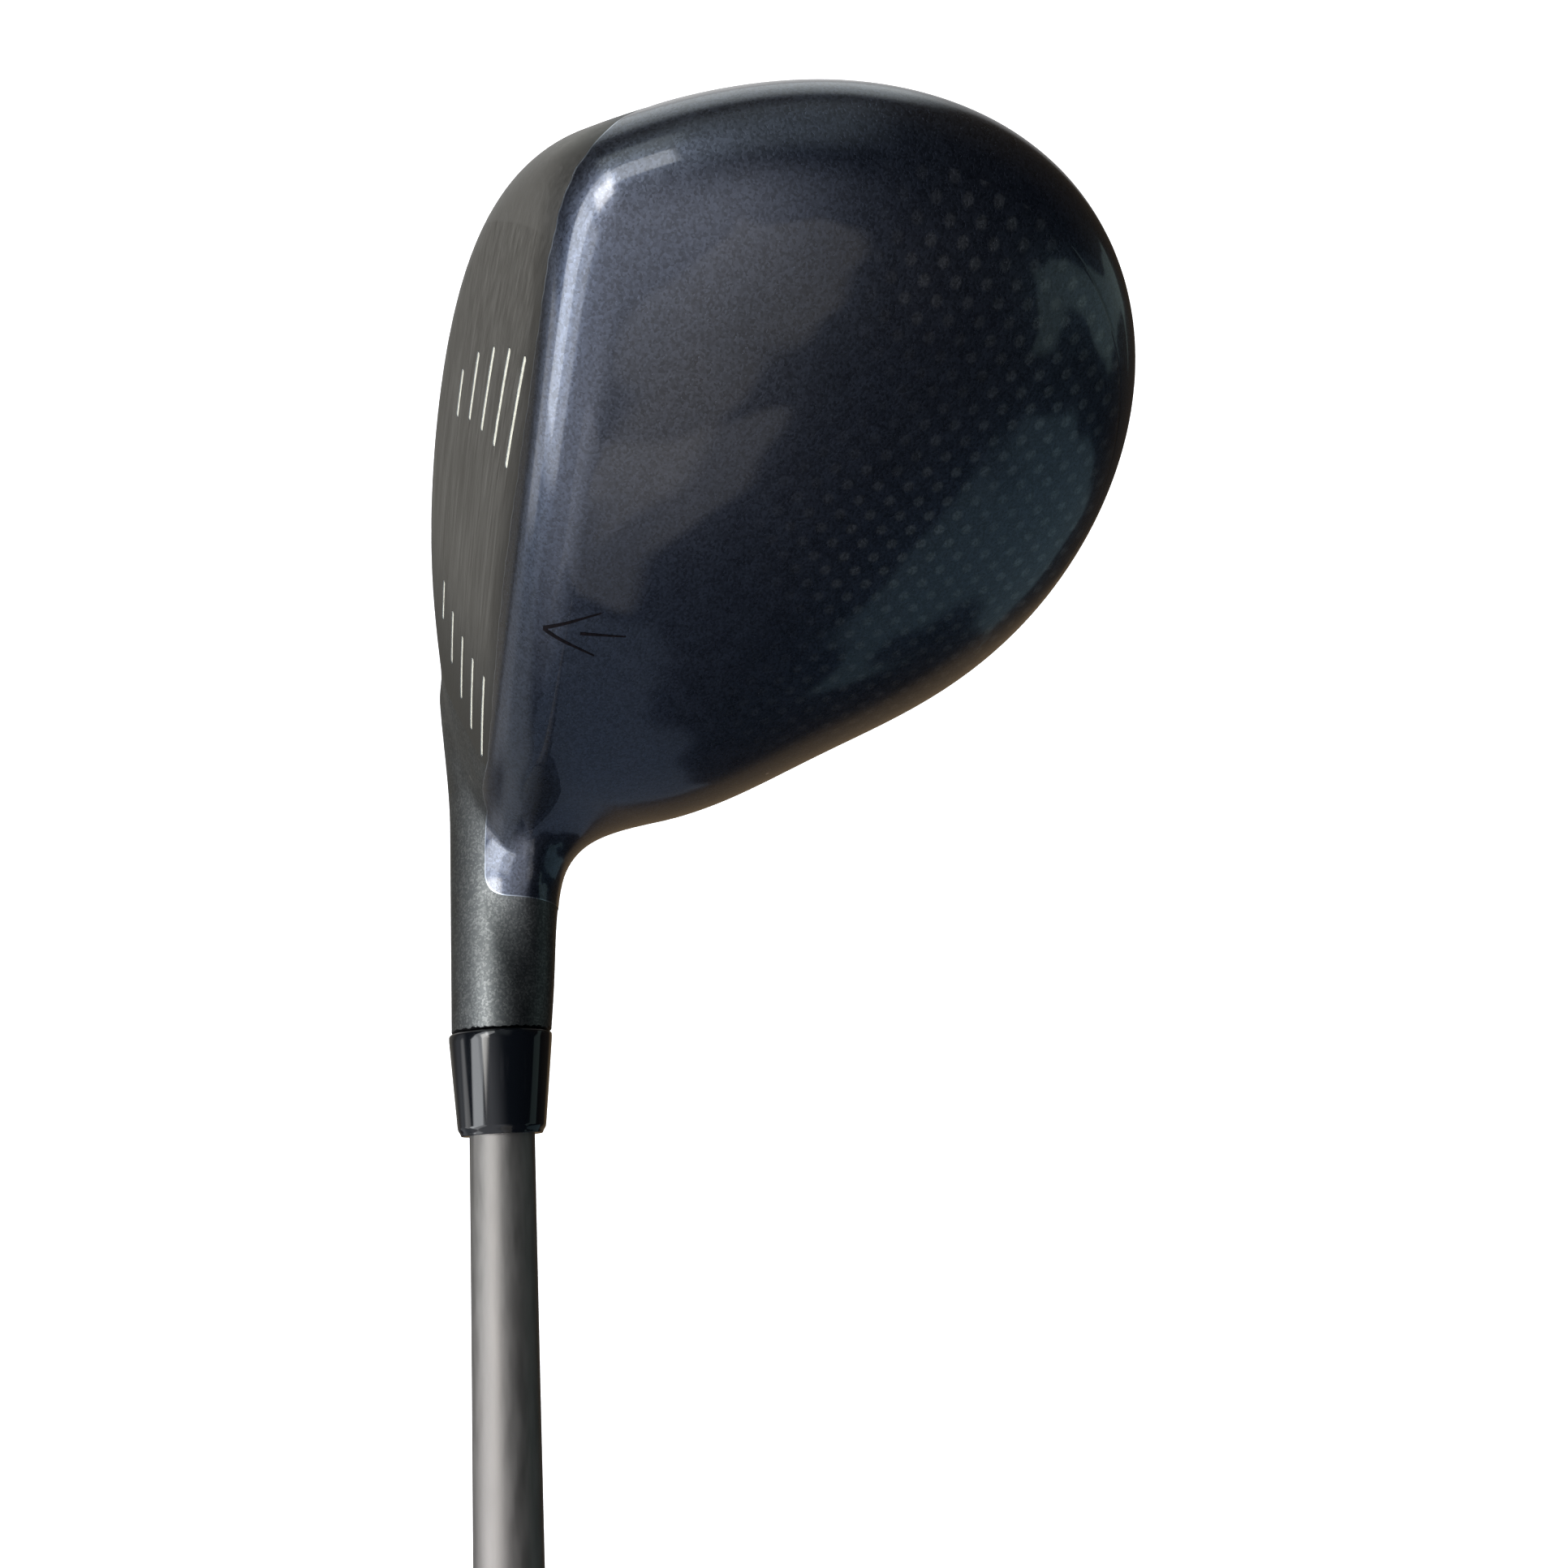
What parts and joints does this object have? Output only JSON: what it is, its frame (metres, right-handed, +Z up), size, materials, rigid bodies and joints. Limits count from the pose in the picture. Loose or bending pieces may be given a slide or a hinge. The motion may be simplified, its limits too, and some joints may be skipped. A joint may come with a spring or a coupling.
{
  "type": "fairway wood",
  "caption": "Right-handed fairway wood: hollow head with a lofted face and bonded crown, ferrule, tapering shaft, rubber grip and a screw-held sole weight.",
  "frame": {"origin": "lowest point of the sole, where the head rests on the ground at address", "axes": "+Z up; the face looks along -Y; the toe lies towards -X and the shaft rises towards +X at the lie angle"},
  "size_m": [0.668, 0.0841, 0.9401],
  "materials": {
    "body": "satin black",
    "face": "dark brushed and satin",
    "line_paint": "cream paint fill",
    "crown": "metallic navy paint under clear coat",
    "adhesive": "cured adhesive",
    "badge": "satin navy",
    "weight_metal": "machined",
    "ring_rubber": "matte",
    "screw": "black oxide",
    "plug_foam": "foam",
    "ferrule": "polished black",
    "tip_brass": "turned",
    "shaft": "satin warm grey lacquer on graphite",
    "band": "printed film",
    "tape": "paper tape",
    "grip": "moulded rubber"
  },
  "bodies": {
    "root": {"head_body": "body", "face_cup": "face", "score_lines": "line_paint", "crown_panel": "crown", "crown_adhesive": "adhesive", "sole_badge": "badge", "internal_weight": "weight_metal", "hot_melt": "adhesive", "hosel_plug": "plug_foam", "hosel_epoxy": "adhesive", "ferrule": "ferrule", "tip_weight": "tip_brass", "shaft": "shaft", "shaft_band": "band", "grip_tape": "tape", "grip": "grip", "grip_cap": "grip"},
    "weight_carrier": {"sole_weight": "weight_metal", "weight_oring": "ring_rubber"},
    "screw": {"weight_screw": "screw", "screw_retainer": "screw"}
  },
  "joints": [
    {"name": "weight_travel", "type": "slide", "parent": "root", "child": "weight_carrier", "axis": [0, 0.1392, -0.9903], "range_m": [0, 0.0066]},
    {"name": "screw_turn", "type": "hinge", "parent": "weight_carrier", "child": "screw", "pos_m": [0, 0.024, 0.0006], "axis": [0, 0.1392, -0.9903], "range_deg": [0, 2971]}
  ],
  "couplings": [
    {"joint": "screw_turn", "follows": "weight_travel", "rad_per_m": 7854}
  ]
}
